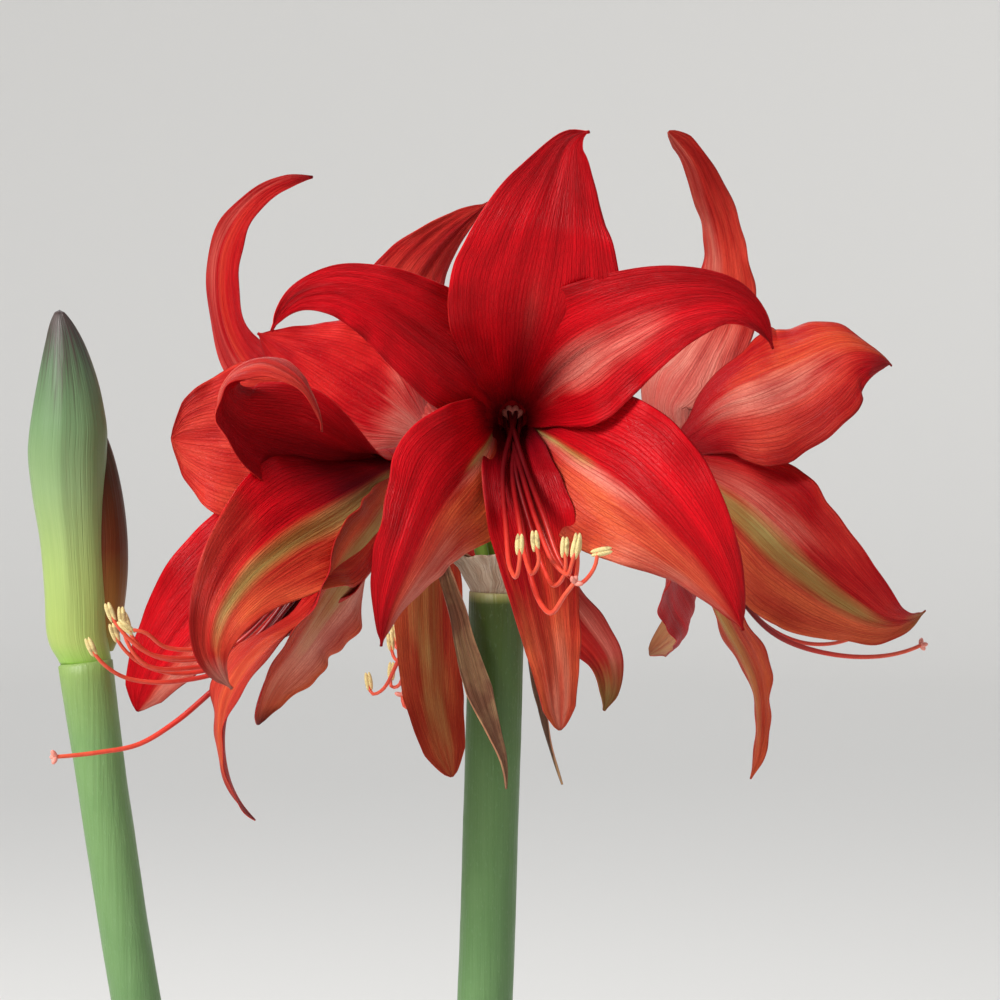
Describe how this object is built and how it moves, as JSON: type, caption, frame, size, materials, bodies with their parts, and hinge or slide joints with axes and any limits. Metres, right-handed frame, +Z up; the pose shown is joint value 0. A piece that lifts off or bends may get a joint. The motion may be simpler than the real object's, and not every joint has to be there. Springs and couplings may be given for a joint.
{
  "type": "potted amaryllis",
  "caption": "Flowering amaryllis bulb in a tapered clay pot: a leafless scape with an umbel of large open blooms, and a second scape with a closed bud.",
  "frame": {"origin": "centre of the pot's base on the ground", "axes": "+Z up along the plant; -Y is the side that the front bloom faces"},
  "size_m": [0.3069, 0.2269, 0.6914],
  "materials": {
    "pot": "matte fired clay",
    "soil": "loose dark compost",
    "bulb": "papery brown skin",
    "scape_main": "smooth green stem",
    "scape_bud": "smooth green stem",
    "bud_front_valve": "smooth waxy green",
    "bud_back_valve": "smooth brown",
    "flower_stalks": "smooth green",
    "spathe_bracts": "dry and papery",
    "bloom_front": "satin petal",
    "bloom_left": "satin petal",
    "bloom_right": "satin petal",
    "bloom_back": "satin petal",
    "stamens_front": "smooth",
    "stamens_left": "smooth",
    "stamens_right": "smooth",
    "stamens_back": "smooth"
  },
  "bodies": {
    "root": {"pot": "pot", "soil": "soil", "bulb": "bulb", "scape_main": "scape_main", "scape_bud": "scape_bud", "bud_front_valve": "bud_front_valve", "bud_back_valve": "bud_back_valve", "flower_stalks": "flower_stalks", "spathe_bracts": "spathe_bracts", "bloom_front": "bloom_front", "bloom_left": "bloom_left", "bloom_right": "bloom_right", "bloom_back": "bloom_back", "stamens_front": "stamens_front", "stamens_left": "stamens_left", "stamens_right": "stamens_right", "stamens_back": "stamens_back"}
  },
  "joints": []
}
